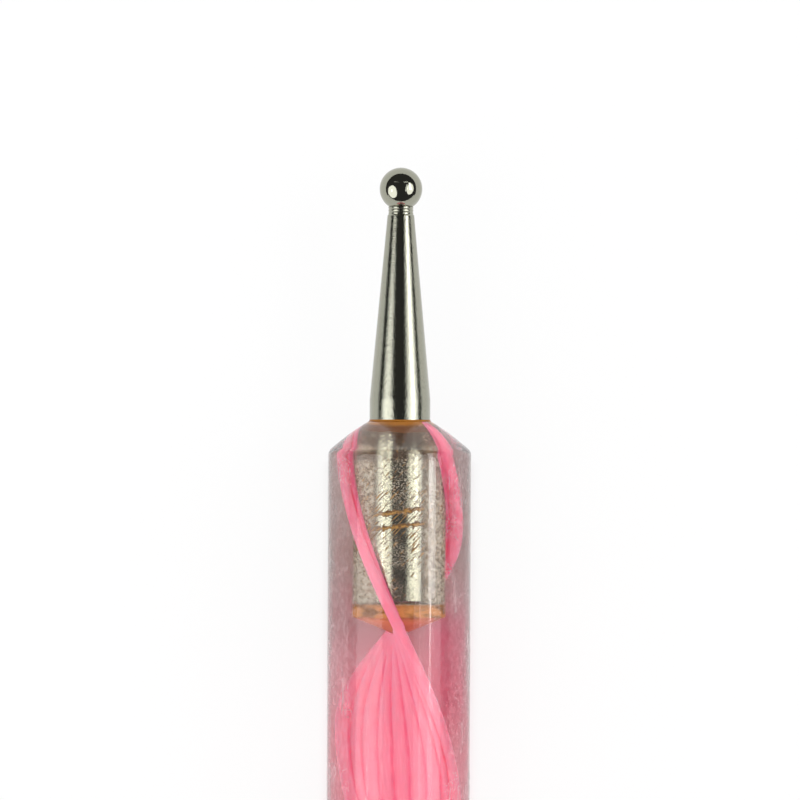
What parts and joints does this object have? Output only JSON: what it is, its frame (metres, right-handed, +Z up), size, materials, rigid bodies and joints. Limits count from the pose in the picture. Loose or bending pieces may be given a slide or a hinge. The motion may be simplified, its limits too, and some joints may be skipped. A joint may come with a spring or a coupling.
{
  "type": "embossing stylus",
  "caption": "Double-ended ball stylus for embossing and dotting, with a clear rod handle round a twisted pink ribbon and turned metal ball tips.",
  "frame": {"origin": "under the middle of the tool's overall length, on the surface it lies on", "axes": "+Y along the handle towards the larger ball, +Z up from the surface, +X across"},
  "size_m": [0.008, 0.1298, 0.008],
  "materials": {
    "clear_acrylic": "clear cast acrylic, polished, with fine handling scuffs",
    "pink_ribbon": "solid pink plastic cast into the clear rod",
    "ball_nickel": "bright nickel plate, polished",
    "stem_nickel": "bright nickel plate over fine turning marks",
    "amber_glue": "set amber glue with small bubbles"
  },
  "bodies": {
    "root": {"clear_handle": "clear_acrylic", "swirl_ribbon": "pink_ribbon", "large_ball": "ball_nickel", "large_ball_stem": "stem_nickel", "large_end_glue": "amber_glue", "small_ball": "ball_nickel", "small_ball_stem": "stem_nickel", "small_end_glue": "amber_glue"}
  },
  "joints": []
}
